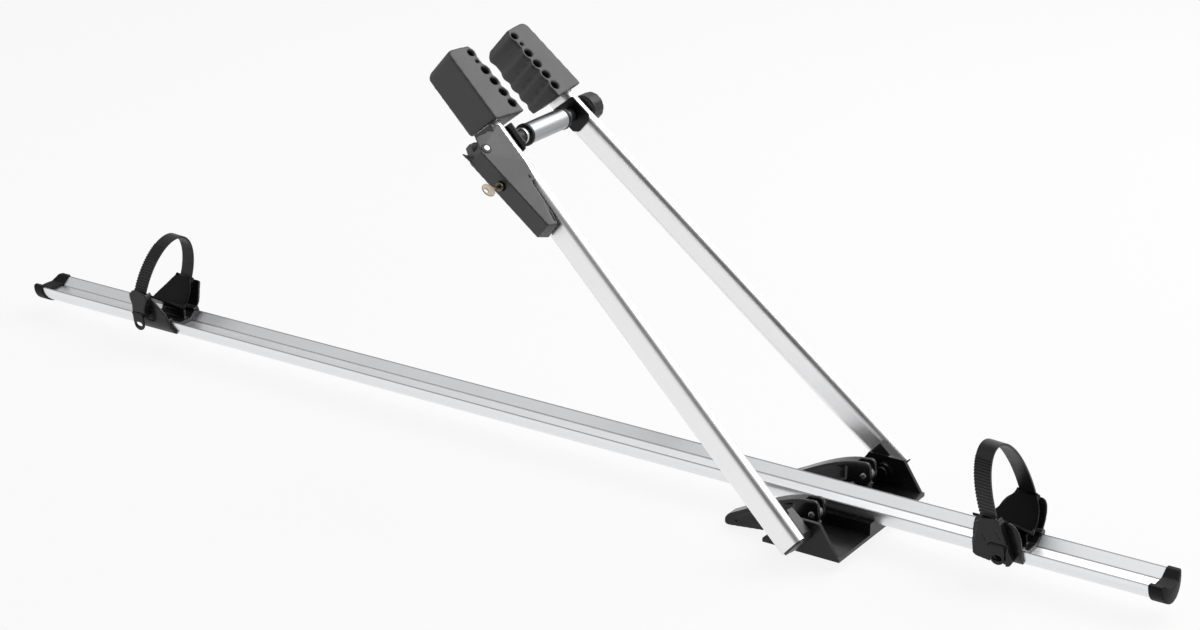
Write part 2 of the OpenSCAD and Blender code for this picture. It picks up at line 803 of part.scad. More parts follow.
module spacer_rings() {
    color("black") {
        on_bolt(-tube_near - ring_length, ring_length, ring_d, bolt_d + 2 * clear);
        on_bolt(tube_far, ring_length, ring_d, bolt_d + 2 * clear);
    }
}

module spacer_washers() {
    color("lightgray") {
        on_bolt(-tube_near - ring_length - washer_length, washer_length, washer_d, bolt_d + 2 * clear);
        on_bolt(tube_far + ring_length, washer_length, washer_d, bolt_d + 2 * clear);
    }
}

module spacer_bushes() {
    near = tube_near + ring_length + washer_length;
    far = tube_far + ring_length + washer_length;
    color("black") {
        on_bolt(-stack_end, stack_end - near, bush_d, bolt_d + 2 * clear);
        on_bolt(far, stack_end - clear - far, bush_d, bolt_d + 2 * clear);
    }
}

// Clamp lever's frame at its pin: X across, Y towards the arm, Z along the arm
module on_pin() {
    on_holder() translate([bolt_rise, -pin_y, bolt_reach]) rotate([-arm_lean, 0, 0]) children();
}

module cam_seat() {
    color("dimgray") difference() {
        on_pin() translate([seat_left, face_y - seat_thickness, -seat_low])
            cube([seat_right - seat_left, seat_thickness + arm_wall, seat_low + seat_high]);
        on_near_arm() linear_extrude(arm_length) oval(arm_width + 2 * fit, arm_thickness + 2 * fit);
        on_holder() translate([bolt_rise, 0, bolt_reach]) bar_y(-pin_y, pin_y, bolt_d + 2 * clear);
    }
}

module draw_bolt() {
    color("silver") difference() {
        union() {
            on_holder() translate([bolt_rise, 0, bolt_reach]) bar_y(-pin_y, pin_y + bolt_end, bolt_d);
            on_pin() bar_x(-eye_half, 2 * eye_half, 2 * bolt_eye_r);
        }
        on_pin() bar_x(-2 * eye_half, 4 * eye_half, pin_d);
    }
}

module lever_pin() {
    color("silver") on_pin() bar_x(lever_low + pin_recess, pin_high - lever_low - pin_recess, pin_d);
}

// Lever's body: a wedge with a flat strip along its outer side and a broad sloping face above it
module lever_hull(inset) {
    low = lever_low + inset;
    high = lever_high - inset;
    tip = inset - clamp_lever_length;
    corners = concat(
        [for (x = [low, crease_x - inset]) for (p = [strip_top, strip_tip]) [x, p[0] + inset, p[1] + inset / 2]],
        [for (z = [cam_top - inset, tip]) [low, lever_back, z]],
        [for (z = [lever_rise, -2 * lever_high]) [high, lever_back + lever_hug, z]],
        [[high - lever_taper, lever_back, -0.7 * clamp_lever_length],
         [high - 2 * lever_taper, lever_back - tip_drop, tip + over]],
        [for (x = [low + strip_step, crease_x]) [x, strip_top[0] + lever_shoulder + inset, cam_top - inset]]);
    hull() for (p = corners) translate(p) cube(0.01, center = true);
}

module clamp_lever() {
    far_out = 2 * pin_y;
    color("black") on_pin() difference() {
        union() {
            intersection() {
                lever_hull(0);
                union() {
                    translate([0, cam_in, -cam_down]) bar_x(lever_low - over, 3 * lever_high, 2 * cam_r);
                    translate([-far_out / 2, -far_out / 2, -far_out - seat_low - over]) cube(far_out);
                    translate([-far_out / 2, -far_out - cam_in, -far_out / 2]) cube(far_out);
                    translate([0, cam_in, -cam_down])
                        bar_x(seat_right + clear, 3 * lever_high, 2 * (cam_r + seat_thickness));
                    translate([arm_width / 2 - bolt_rise + clear, -far_out / 2, -far_out / 2]) cube(far_out);
                }
            }
            along_x(lever_low + strip_step, strip_step) polygon(lever_spur * [[0, 0.2], [-1, 0.8], [-0.64, -0.43], [0, -0.43]]);
        }
        intersection() {
            lever_hull(clamp_lever_wall);
            translate([-far_out / 2, -far_out / 2, -far_out - lever_pocket]) cube(far_out);
        }
        translate([lever_low + clamp_lever_wall, lever_back - clamp_lever_wall, lever_end - clamp_lever_length])
            cube([lever_high - lever_low - 2 * clamp_lever_wall, far_out, clamp_lever_length - lever_pocket - lever_end]);
        translate([0, face_y + arm_thickness / 2, -far_out / 2]) translate([-bolt_rise, 0, 0])
            linear_extrude(far_out) oval(arm_width + 4 * clear, arm_thickness + 4 * clear);
        translate([-eye_half - clear, -bolt_eye_r - clear, -bolt_eye_r - clear])
            cube([2 * (eye_half + clear), 4 * cam_r, 4 * cam_r]);
        bar_x(lever_low - over, pin_high - lever_low + over + fit, pin_d + 2 * running);
        bar_x(lever_low - over, pin_recess + over, pin_d + 5);
        on_lock() bar_y(-lock_d, 2 * lock_d, lock_d + 2 * fit);
        translate(scoop_top) rotate([0, acos(scoop[2] / norm(scoop)), atan2(scoop[1], scoop[0])])
            cylinder(h = norm(scoop), r1 = 0.2 * scoop_r, r2 = scoop_r);
    }
}

// Lock's frame on the lever's strip: its axis runs along Y, out of the lever towards -Y
module on_lock() {
    share = lock_reach / (strip_top[1] - strip_tip[1]);
    spot = strip_top + share * (strip_tip - strip_top);
    translate([(lever_low + crease_x) / 2, spot[0], spot[1]]) children();
}

module lock_barrel() {
    color("goldenrod") on_pin() on_lock() difference() {
        bar_y(-lock_out, lock_out + lock_in, lock_d);
        bar_y(-lock_out - over, lock_out + lock_in + 2 * over, plug_d + 2 * running);
    }
}

module lock_plug() {
    color("goldenrod") on_pin() on_lock() difference() {
        bar_y(-lock_out - 0.4, lock_out + lock_in, plug_d);
        translate([-key_thickness / 2 - fit, -lock_out - over, -key_width / 2 - fit])
            cube([key_thickness + 2 * fit, lock_out + over + 2, key_width + 2 * fit]);
    }
}

module key() {
    bow = 15;
    bow_y = -lock_out - key_neck - bow / 2;
    color("silver") on_pin() on_lock() along_x(-key_thickness / 2, key_thickness) difference() {
        union() {
            translate([bow_y, -key_width / 2]) square([1.5 - bow_y, key_width]);
            translate([bow_y, 0]) circle(d = bow);
        }
        translate([bow_y - bow / 4, 0]) circle(d = bow / 3);
    }
}

module knob() {
    flutes = 12;
    flute_d = 5;
    flute_depth = 0.45;
    flute_start = 4;
    color("black") on_holder() translate([bolt_rise, 0, bolt_reach]) difference() {
        bar_y(knob_start, knob_length, knob_d);
        bar_y(knob_start - over, knob_length - 2 + over, bolt_d + 2 * nut_wall + 2 * fit);
        for (i = [0:flutes - 1]) rotate([0, i * 360 / flutes, 0])
            translate([knob_d / 2 + flute_d / 2 - flute_depth, 0, 0])
                bar_y(knob_start + flute_start, knob_length, flute_d);
    }
}

module knob_nut() {
    color("lightgray") on_bolt(knob_start - clear / 2, knob_length - 2.2, bolt_d + 2 * nut_wall, bolt_d + 2 * running);
}

// Wheel cradles, built about the rail's cross-section at a place along the rail

module wing_2d(rise, left, right, drop, bulge) {
    half = saddle_length / 2 - wing_inset;
    polygon(concat(
        [[-half, -saddle_wall / 2], [half, -saddle_wall / 2]],
        curve([half, drop], [bulge * half, bulge * rise], [right, rise]),
        curve([left, rise], [-half, rise], [-half, drop])));
}

// Wings lean out from the rail's lips: Y outwards is negative, Z up along the wing
module on_near_wing() {
    translate([0, -saddle_r + saddle_wall / 2, lip_z]) rotate([near_wing_lean, 0, 0]) children();
}

module on_far_wing() {
    translate([0, saddle_r - saddle_wall / 2, lip_z]) rotate([-far_wing_lean, 0, 0]) children();
}

module saddle(shift, slant, bulge, wing_right) {
    half = saddle_length / 2;
    difference() {
        union() {
            along_x(-half, saddle_length) intersection() {
                hull_2d(skirt_r - hull_r, clear + saddle_wall);
                translate([-2 * skirt_r, skirt_z]) square([4 * skirt_r, 2 * rail_depth]);
            }
            on_near_wing() along_y(-saddle_wall / 2, saddle_wall)
                wing_2d(near_wing_rise, -0.35 * saddle_length, wing_right * saddle_length, 2, bulge);
            translate([shift, 0, 0]) on_far_wing() along_y(-saddle_wall / 2, saddle_wall)
                wing_2d(far_wing_rise, 0, 0.3 * saddle_length, 3, 1);
        }
        along_x(-saddle_length, 2 * saddle_length) {
            difference() {
                hull_2d(clear, clear);
                trough_2d(clear);
            }
            translate([0, clear]) trough_2d(saddle_wall);
        }
        translate([half, -saddle_length, skirt_z]) rotate([0, -slant, 0])
            translate([0, 0, -saddle_length]) cube([saddle_length, 2 * saddle_length, 3 * saddle_length]);
    }
    translate([-half + rib_inset, pad_y - rib_width / 2, trough_z + clear])
        cube([saddle_length - 2 * rib_inset, rib_width, pad_z - trough_z - clear - pad_skin - wing_inset - fit]);
}

// Strap plane: Y and Z of the loop, turned a little about the vertical
module on_strap(shift) {
    translate([shift, 0, 0]) rotate([0, 0, -strap_skew]) children();
}

function loop_point(turn, rise, sway) = [-loop_half * cos(turn) + sway * rise * sin(turn), loop_z + rise * sin(turn)];
function loop_normal(turn, rise, sway) =
    let (way = loop_point(turn + 0.5, rise, sway) - loop_point(turn - 0.5, rise, sway))
    [-way[1], way[0]] / norm(way);
function anchor(rise, sway) = loop_point(anchor_turn, rise, sway);
near_end = [-loop_half, loop_z];
tail_length = 8;
tail_end = near_end + tail_length * [sin(near_wing_lean), -cos(near_wing_lean)];
tooth_turn = 62 / tooth_count;
anchor_eye_r = anchor_d / 2 + 1.8;
lug_half = 0.8 * anchor_eye_r;
lug_gap = strap_width / 2 + clear;
lug_width = 2.5;

// Point on the strap at a height above its inner face
function strap_point(turn, height, rise, sway) =
    loop_point(turn, rise, sway) + height * loop_normal(turn, rise, sway);

// Outer edge of one ratchet tooth
function tooth_edge(i, rise, sway) = [
    for (corner = [[0, 0], [0.15, tooth_height], [0.6, tooth_height], [0.75, 0]])
        strap_point(near_turn + (i + corner[0]) * tooth_turn, strap_thickness + corner[1], rise, sway)];

module strap_2d(rise, sway) {
    steps = 40;
    first = near_turn + tooth_count * tooth_turn;
    inner = [for (i = [0:steps]) loop_point(near_turn + (anchor_turn - near_turn) * i / steps, rise, sway)];
    teeth = [for (i = [0:tooth_count - 1]) each tooth_edge(i, rise, sway)];
    smooth = [for (i = [0:steps]) strap_point(first + (anchor_turn - first) * i / steps, strap_thickness, rise, sway)];
    outer = concat([tail_end - [strap_thickness, 0]], teeth, smooth);
    difference() {
        union() {
            polygon(concat([tail_end], inner, [for (i = [len(outer) - 1:-1:0]) outer[i]]));
            translate(anchor(rise, sway)) circle(r = anchor_eye_r);
        }
        translate(anchor(rise, sway)) circle(d = anchor_d + 2 * running);
    }
}

module strap(shift, rise, sway) {
    on_strap(shift) along_x(-strap_width / 2, strap_width) strap_2d(rise, sway);
}

// Anchor's axis, along X of the strap's plane
module on_anchor(shift, rise, sway) {
    on_strap(shift) translate([0, anchor(rise, sway)[0], anchor(rise, sway)[1]]) children();
}

module anchor_pin(shift, rise, sway) {
    on_anchor(shift, rise, sway) bar_x(-lug_gap - lug_width, 2 * (lug_gap + lug_width), anchor_d);
}

// Tyre pad: a near flap and a far petal that meet in a fold above the rail
module tyre_pad(shift, rise, sway) {
    half = saddle_length / 2 - 1;
    petal = anchor(rise, sway) - [pad_y, pad_z];
    behind = anchor_eye_r + clear + 2 * fit + pad_skin;
    swing = asin(behind / norm(petal));
    petal_lean = atan2(petal[0], petal[1]) - swing;
    petal_length = norm(petal) * cos(swing) + petal_cover;
    fold_r = pad_skin + 0.5;
    shoulder = lug_gap + lug_width - 1.5;
    top_x = loop_half * sin(strap_skew);
    flap_length = (saddle_r + near_wing_rise * sin(near_wing_lean) - saddle_wall + pad_y) / sin(flap_lean);
    difference() {
        union() {
            translate([shift, pad_y, pad_z]) {
                bar_x(-half - wing_inset, 2 * (half + wing_inset), 2 * fold_r);
                rotate([-petal_lean, 0, 0]) along_y(0, pad_skin) polygon(concat(
                    [[-half, 0], [half, 0]],
                    curve([half, 0.15 * petal_length], [half, 0.65 * petal_length], [top_x + shoulder, petal_length]),
                    curve([top_x - shoulder, petal_length], [-0.62 * half, 0.58 * petal_length], [-half, 0.15 * petal_length])));
                rotate([flap_lean, 0, 0]) along_y(-pad_skin, pad_skin) polygon(concat(
                    [[-half, 0], [half, 0]],
                    curve([half, 5], [half - 3, 0.7 * flap_length], [0, flap_length]),
                    [[-half, flap_length]]));
            }
            on_anchor(shift, rise, sway) for (side = [-1, 1])
                along_x(side * (lug_gap + lug_width / 2) - lug_width / 2, lug_width) {
                    circle(r = anchor_eye_r);
                    rotate(90 - petal_lean) translate([-lug_half, 0]) square([2 * lug_half, behind - pad_skin / 2]);
                }
        }
        on_near_wing() translate([-saddle_length, -saddle_length + saddle_wall / 2 + fit, -saddle_length])
            cube([2 * saddle_length, saddle_length, 3 * saddle_length]);
        on_anchor(shift, rise, sway) {
            bar_x(-2 * lug_gap, 4 * lug_gap, anchor_d + 2 * fit);
            bar_x(-lug_gap, 2 * lug_gap, 2 * (anchor_eye_r + clear));
        }
    }
}

// Buckle on the near wing: X along the rail, -Y outwards, Z up along the wing
module on_buckle(shift) {
    translate([shift - loop_half * sin(strap_skew), 0, 0]) on_near_wing() translate([0, -buckle_gap, 0]) children();
}

module buckle(shift, outline, tab_x, slots) {
    mouth = strap_width / 2 + 1.4;
    pocket = tab_half + clear;
    difference() {
        on_buckle(shift) difference() {
            along_y(-buckle_depth, buckle_depth)
                polygon([for (p = outline) [p[0] * buckle_half, p[1] * buckle_high]]);
            translate([-mouth, -slot_near - slot_depth, buckle_high - tail_length - 4])
                cube([2 * mouth, slot_depth, 2 * buckle_high]);
            translate([-mouth, -slot_near - over, buckle_high - over])
                cube([2 * mouth, slot_near + 2 * over, buckle_high]);
            for (s = slots) translate([s[0][0] * buckle_half, -buckle_depth - over, s[0][1] * buckle_high])
                rotate([0, atan2((s[0][1] - s[1][1]) * buckle_high, (s[1][0] - s[0][0]) * buckle_half), 0])
                    cube([norm([(s[1][0] - s[0][0]) * buckle_half, (s[1][1] - s[0][1]) * buckle_high]),
                          over + mark_depth, mark_width]);
            translate([tab_x, 0, 0]) {
                translate([-pocket, -2 * buckle_depth, -buckle_high])
                    cube([2 * pocket, 2 * buckle_depth + tab_axis_y + tab_eye_r + clear,
                          tab_axis_z + tab_eye_r + clear + buckle_high]);
                translate([0, tab_axis_y, tab_axis_z])
                    bar_x(-tab_pin_half - over, 2 * (tab_pin_half + over), tab_pin_d + 2 * fit);
            }
        }
        translate([0, 0, hull_z]) bar_x(-saddle_length, 2 * saddle_length, 2 * (skirt_r + fit));
    }
}

module tab_pin(shift, tab_x) {
    on_buckle(shift) translate([tab_x, tab_axis_y, tab_axis_z]) bar_x(-tab_pin_half, 2 * tab_pin_half, tab_pin_d);
}

module tab(shift, tab_x) {
    hole_z = 7.5 - tab_length;
    hole_half = 2;
    hole_d = 6;
    on_buckle(shift) translate([tab_x, tab_axis_y, tab_axis_z]) difference() {
        union() {
            bar_x(-tab_half, 2 * tab_half, 2 * tab_eye_r);
            along_y(-tab_eye_r, tab_skin) polygon(concat(
                [[-tab_half, 0], [tab_half, 0]],
                curve([tab_half, -tab_length / 2], [tab_half, -tab_length], [0, -tab_length]),
                curve([0, -tab_length], [-tab_half, -tab_length], [-tab_half, -tab_length / 2])));
        }
        bar_x(-2 * tab_half, 4 * tab_half, tab_pin_d + 2 * running);
        for (x = [-hole_half, hole_half]) translate([x, 0, hole_z]) bar_y(-2 * tab_eye_r, 4 * tab_eye_r, hole_d);
        translate([-hole_half, -2 * tab_eye_r, hole_z - hole_d / 2]) cube([2 * hole_half, 4 * tab_eye_r, hole_d]);
    }
}

module at_left() {
    translate([left_cradle_x, 0, 0]) children();
}

module at_right() {
    translate([right_cradle_x, 0, 0]) children();
}

module left_saddle() {
    color("black") at_left() saddle(left_shift, left_slant, left_bulge, left_wing_right);
}

module left_tyre_pad() {
    color("black") at_left() tyre_pad(left_shift, left_loop_rise, left_sway);
}

module left_buckle() {
    color("black") at_left() buckle(left_shift, left_outline, left_tab_x, left_slots);
}

module left_anchor_pin() {
    color("gray") at_left() anchor_pin(left_shift, left_loop_rise, left_sway);
}

module left_tab_pin() {
    color("gray") at_left() tab_pin(left_shift, left_tab_x);
}

module left_strap() {
    color("black") at_left() strap(left_shift, left_loop_rise, left_sway);
}

module left_tab() {
    color("black") at_left() tab(left_shift, left_tab_x);
}

module right_saddle() {
    color("black") at_right() saddle(right_shift, 0, 1, right_wing_right);
}

module right_tyre_pad() {
    color("black") at_right() tyre_pad(right_shift, right_loop_rise, right_sway);
}

module right_buckle() {
    color("black") at_right() buckle(right_shift, right_outline, right_tab_x, right_slots);
}

module right_anchor_pin() {
    color("gray") at_right() anchor_pin(right_shift, right_loop_rise, right_sway);
}

module right_tab_pin() {
    color("gray") at_right() tab_pin(right_shift, right_tab_x);
}

module right_strap() {
    color("black") at_right() strap(right_shift, right_loop_rise, right_sway);
}

module right_tab() {
    color("black") at_right() tab(right_shift, right_tab_x);
}

rail();
left_end_cap();
right_end_cap();
foot();
foot_bolts();
slide_nuts();
cam_pads();
pivot_bolts();
near_t_bolt();
near_rivet();
near_base_lever();
far_t_bolt();
far_rivet();
far_base_lever();
near_arm();
near_shoe();
near_jaw();
near_jaw_screw();
near_plate();
spacer_tube();
spacer_rings();
spacer_washers();
spacer_bushes();
cam_seat();
far_arm();
far_shoe();
far_jaw();
far_jaw_screw();
far_plate();
draw_bolt();
lever_pin();
clamp_lever();
lock_barrel();
lock_plug();
key();
knob();
knob_nut();
left_saddle();
left_tyre_pad();
left_buckle();
left_anchor_pin();
left_tab_pin();
left_strap();
left_tab();
right_saddle();
right_tyre_pad();
right_buckle();
right_anchor_pin();
right_tab_pin();
right_strap();
right_tab();
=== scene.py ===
"""Looks of the roof mounted bike carrier: drawn aluminium, moulded rubber, black plastic and plated steel."""
import math

import bmesh
import bpy
from mathutils import Matrix, Vector


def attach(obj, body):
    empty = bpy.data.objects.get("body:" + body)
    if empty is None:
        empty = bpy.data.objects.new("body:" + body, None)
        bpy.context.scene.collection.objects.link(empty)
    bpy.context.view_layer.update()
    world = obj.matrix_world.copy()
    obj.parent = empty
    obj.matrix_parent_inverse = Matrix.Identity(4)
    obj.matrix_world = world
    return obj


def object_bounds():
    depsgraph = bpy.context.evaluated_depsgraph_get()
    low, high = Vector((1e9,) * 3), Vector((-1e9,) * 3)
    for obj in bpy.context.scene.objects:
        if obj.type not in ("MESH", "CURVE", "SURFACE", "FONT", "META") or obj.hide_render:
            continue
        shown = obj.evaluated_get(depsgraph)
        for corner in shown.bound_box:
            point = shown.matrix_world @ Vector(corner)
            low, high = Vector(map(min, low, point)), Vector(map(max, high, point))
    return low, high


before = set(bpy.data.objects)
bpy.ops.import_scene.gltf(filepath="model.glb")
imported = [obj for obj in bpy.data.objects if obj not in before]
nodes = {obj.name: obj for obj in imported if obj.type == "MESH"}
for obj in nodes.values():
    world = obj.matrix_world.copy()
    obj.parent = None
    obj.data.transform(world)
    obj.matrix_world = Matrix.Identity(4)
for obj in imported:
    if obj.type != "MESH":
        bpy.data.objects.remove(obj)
cad_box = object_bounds()

MM = 0.001


# Shader maths

# Sockets of a Mix node that mixes colours
MIX_SHARE, MIX_FIRST, MIX_SECOND, MIX_RESULT = 0, 6, 7, 2

# Where most of a noise's values lie
NOISE_LOW, NOISE_HIGH = 0.3, 0.7


class Shade:
    """One socket of a material. Arithmetic on it adds Math nodes, and node() adds any other node."""

    def __init__(self, tree, socket=None):
        self.tree = tree
        self.socket = socket

    def node(self, kind, settings=None, sockets=None, output=0):
        made = self.tree.nodes.new("ShaderNode" + kind)
        for name, value in (settings or {}).items():
            if name == "stops":
                ramp = made.color_ramp.elements
                while len(ramp) < len(value):
                    ramp.new(1)
                for stop, (place, grey) in zip(ramp, value):
                    stop.position = place
                    stop.color = (grey, grey, grey, 1)
            else:
                setattr(made, name, value)
        for name, value in (sockets or {}).items():
            if isinstance(value, Shade):
                self.tree.links.new(value.socket, made.inputs[name])
            else:
                made.inputs[name].default_value = value
        return Shade(self.tree, made.outputs[output] if made.outputs else None)

    def of(self, name):
        """Another output of this socket's node, by its name."""
        return Shade(self.tree, self.socket.node.outputs[name])

    def maths(self, operation, *values):
        return self.node("Math", {"operation": operation}, dict(enumerate(values)))

    def __add__(self, other):
        return self.maths("ADD", self, other)

    def __radd__(self, other):
        return self.maths("ADD", other, self)

    def __sub__(self, other):
        return self.maths("SUBTRACT", self, other)

    def __rsub__(self, other):
        return self.maths("SUBTRACT", other, self)

    def __mul__(self, other):
        return self.maths("MULTIPLY", self, other)

    def __rmul__(self, other):
        return self.maths("MULTIPLY", other, self)

    def __abs__(self):
        return self.maths("ABSOLUTE", self)

    def noise(self, place, scale, detail=2.0, rough=0.5):
        return self.node("TexNoise", {}, {"Vector": place, "Scale": scale, "Detail": detail, "Roughness": rough})

    def stretched(self, place, scale, detail=2.0, rough=0.5):
        """Noise drawn out along an axis: one scale for each of the three."""
        return self.noise(self.node("Mapping", {}, {"Vector": place, "Scale": scale}), 1.0, detail, rough)

    def between(self, low, high):
        """This noise spread between two values."""
        return self.node("MapRange", {}, {"Value": self, "From Min": NOISE_LOW, "From Max": NOISE_HIGH,
                                          "To Min": low, "To Max": high})

    def mix(self, share, first, second, way="MIX"):
        """One colour over another. Each is a socket or three numbers."""
        first, second = (c if isinstance(c, Shade) else (*c, 1) for c in (first, second))
        return self.node("Mix", {"data_type": "RGBA", "blend_type": way},
                         {MIX_SHARE: share, MIX_FIRST: first, MIX_SECOND: second}, output=MIX_RESULT)

    def blend(self, dark, light):
        """A colour between two, by this value."""
        return self.mix(self, dark, light)


def material(name, paint, constants):
    """A Principled material. paint gets the tree and its Object coordinates, and gives the varying sockets."""
    made = bpy.data.materials.new(name)
    made.use_nodes = True
    made.node_tree.nodes.clear()
    tree = Shade(made.node_tree)
    place = tree.node("TexCoord", output="Object")
    surface = tree.node("BsdfPrincipled", {}, {**constants, **paint(tree, place)})
    tree.node("OutputMaterial", {}, {"Surface": surface})
    made.diffuse_color = (0.5, 0.5, 0.5, 1)
    return made


def bump(tree, height, depth, strength):
    """Relief of a depth in millimetres."""
    return tree.node("Bump", {}, {"Height": height, "Distance": depth * MM, "Strength": strength})


# Painted shade in the grooves: where it thins and where it ends, in millimetres, and its colour
GROOVE_SHADE_FULL, GROOVE_SHADE_END = 0.7, 1.7
GROOVE_SHADE = (0.30, 0.30, 0.31)


def drawn_aluminium(name, turn, tint, grooves=()):
    """Satin extruded aluminium: fine die lines along its own length, faint handling marks across them, and
    painted shade in its grooves, each given by its distance from the mid-plane and its height in millimetres."""
    def paint(tree, place):
        along = tree.node("Mapping", {}, {"Vector": place, "Rotation": turn})
        fine = tree.stretched(along, (3, 2600, 2600), 3.0, 0.6)
        broad = tree.stretched(along, (1.2, 260, 260))
        cloud = tree.noise(place, 14.0, 3.0)
        lines = 0.55 * fine + 0.45 * broad
        metal = lines.blend([0.93 * c for c in tint], tint)
        spot = tree.node("SeparateXYZ", {}, {0: place})
        # Painted shade: the metal's colour darkens towards the groove colour near each groove
        for out, up in grooves:
            away = abs(abs(spot.of("Y")) - out * MM) + abs(spot.of("Z") - up * MM)
            unshaded = tree.node("MapRange", {}, {"Value": away, "From Min": GROOVE_SHADE_FULL * MM,
                                               "From Max": GROOVE_SHADE_END * MM})
            metal = unshaded.blend(GROOVE_SHADE, metal)
        return {
            "Base Color": metal,
            "Roughness": (0.6 * fine + 0.4 * cloud).between(0.27, 0.40),
            "Normal": bump(tree, lines, 0.008, 0.35),
        }
    return material(name, paint, {"Metallic": 1.0})


def moulded_rubber(name):
    """Matte dark grey rubber with a fine leathery grain and a dusty bloom."""
    def paint(tree, place):
        cells = tree.node("TexVoronoi", {"feature": "SMOOTH_F1"}, {"Vector": place, "Scale": 620.0})
        grain = tree.noise(place, 900.0, 3.0, 0.6)
        bloom = tree.noise(place, 26.0, 4.0, 0.6)
        return {
            "Base Color": bloom.blend((0.018, 0.018, 0.0185), (0.030, 0.030, 0.031)),
            "Roughness": (0.5 * bloom + 0.5 * grain).between(0.44, 0.58),
            "Normal": bump(tree, 0.6 * cells + 0.4 * grain, 0.25, 0.5),
        }
    return material(name, paint, {"Specular IOR Level": 0.7})


def black_plastic(name, rough, grain_depth, shade, gleam, coat=0.0):
    """Injection moulded black plastic: a faint spark-eroded grain, flow clouding and light scuffs."""
    def paint(tree, place):
        grain = tree.noise(place, 1500.0, 2.0, 0.6)
        flow = tree.noise(place, 30.0, 4.0, 0.55)
        skew = tree.node("Mapping", {}, {"Vector": place, "Rotation": (0.4, 0.3, 0.9), "Scale": (40, 900, 500)})
        scuff = tree.noise(skew, 1.0)
        marks = tree.node("ValToRGB", {"stops": [(0.60, 0.0), (0.74, 1.0)]}, {"Fac": scuff})
        tone = 0.8 * flow + 0.2 * marks
        return {
            "Base Color": tone.blend((0.6 * shade,) * 3, (1.5 * shade, 1.5 * shade, 1.6 * shade)),
            "Roughness": (0.7 * flow + 0.3 * grain).between(rough - 0.05, rough + 0.08) + 0.08 * marks,
            "Normal": bump(tree, grain, grain_depth, 0.4),
        }
    return material(name, paint, {"Coat Weight": coat, "Coat Roughness": 0.08, "Specular IOR Level": gleam})


def plated_steel(name, dark, light, rough):
    """Plated metal with fine turning marks and a little tarnish."""
    def paint(tree, place):
        turned = tree.stretched(place, (1400, 200, 1400))
        tarnish = tree.noise(place, 90.0, 4.0, 0.6)
        return {
            "Base Color": tarnish.blend(dark, light),
            "Roughness": (0.5 * turned + 0.5 * tarnish).between(rough - 0.06, rough + 0.10),
            "Normal": bump(tree, turned, 0.03, 0.3),
        }
    return material(name, paint, {"Metallic": 1.0})


# The arms' slope in the rail's plane, and the near arm's lean towards the far one
ARM_TILT = math.radians(41.3)
ARM_LEAN = math.radians(5.255)

# The rail's floor and lip grooves: distance from the mid-plane and height
RAIL_GROOVES = ((10, 20), (22, 28))

rail_aluminium = drawn_aluminium("drawn_aluminium_rail", (0, 0, 0), (0.89, 0.895, 0.91), RAIL_GROOVES)
arm_aluminium = drawn_aluminium("drawn_aluminium_arm", (0, -ARM_TILT, 0), (0.92, 0.92, 0.925))
tube_aluminium = drawn_aluminium("drawn_aluminium_tube", (0, 0, math.pi / 2), (0.38, 0.385, 0.395))
jaw_rubber = moulded_rubber("jaw_rubber")
satin_black = black_plastic("satin_black_plastic", rough=0.36, grain_depth=0.06, shade=0.013, gleam=0.28)
cap_black = black_plastic("cap_black_plastic", rough=0.50, grain_depth=0.06, shade=0.006, gleam=0.12)
lever_black = black_plastic("lever_black_plastic", rough=0.40, grain_depth=0.08, shade=0.016, gleam=0.75)
pad_black = black_plastic("pad_black_plastic", rough=0.30, grain_depth=0.02, shade=0.003, gleam=0.10)
gloss_black = black_plastic("gloss_black_plastic", rough=0.22, grain_depth=0.02, shade=0.009, gleam=0.28, coat=0.10)
zinc_steel = plated_steel("zinc_steel", (0.52, 0.52, 0.53), (0.72, 0.72, 0.73), 0.30)
dull_steel = plated_steel("dull_steel", (0.20, 0.20, 0.21), (0.33, 0.33, 0.34), 0.42)
black_steel = plated_steel("blackened_steel", (0.016, 0.016, 0.017), (0.035, 0.035, 0.037), 0.34)
nickel = plated_steel("nickel_brass", (0.08, 0.068, 0.052), (0.26, 0.225, 0.175), 0.26)

FINISH = {
    rail_aluminium: ["rail"],
    arm_aluminium: ["near_arm", "far_arm"],
    tube_aluminium: ["spacer_tube"],
    jaw_rubber: ["near_jaw", "far_jaw"],
    cap_black: ["left_end_cap", "right_end_cap"],
    satin_black: ["far_shoe", "knob", "spacer_rings", "spacer_bushes", "left_strap", "right_strap",
                  "left_tab", "right_tab", "cam_seat"],
    lever_black: ["clamp_lever", "near_shoe"],
    gloss_black: ["foot", "near_base_lever", "far_base_lever", "left_saddle", "right_saddle",
                  "left_buckle", "right_buckle"],
    pad_black: ["left_tyre_pad", "right_tyre_pad"],
    black_steel: ["near_plate", "far_plate", "left_anchor_pin", "right_anchor_pin",
                  "left_tab_pin", "right_tab_pin", "pivot_bolts"],
    zinc_steel: ["spacer_washers", "near_rivet", "far_rivet", "draw_bolt", "lever_pin", "knob_nut",
                 "near_jaw_screw", "far_jaw_screw", "cam_pads"],
    dull_steel: ["foot_bolts", "slide_nuts", "near_t_bolt", "far_t_bolt"],
    nickel: ["lock_barrel", "lock_plug", "key"],
}
for finish, names in FINISH.items():
    for name in names:
        piece = nodes[name].data
        piece.materials.clear()
        piece.materials.append(finish)


# Edges

# Width of the rounded edges on the foot and on the pressed, turned and flat pieces, in millimetres
EDGES = {
    "foot": 1.4, "near_shoe": 0.8, "far_shoe": 0.8, "spacer_rings": 0.8, "spacer_bushes": 0.6,
    "spacer_washers": 0.4, "near_plate": 0.5, "far_plate": 0.5, "left_strap": 0.3, "right_strap": 0.3,
    "near_rivet": 0.7, "far_rivet": 0.7, "pivot_bolts": 0.6, "lever_pin": 0.5, "lock_barrel": 0.6, "key": 0.3,
}
EDGE_SEGMENTS = 3
EDGE_ANGLE = math.radians(32)

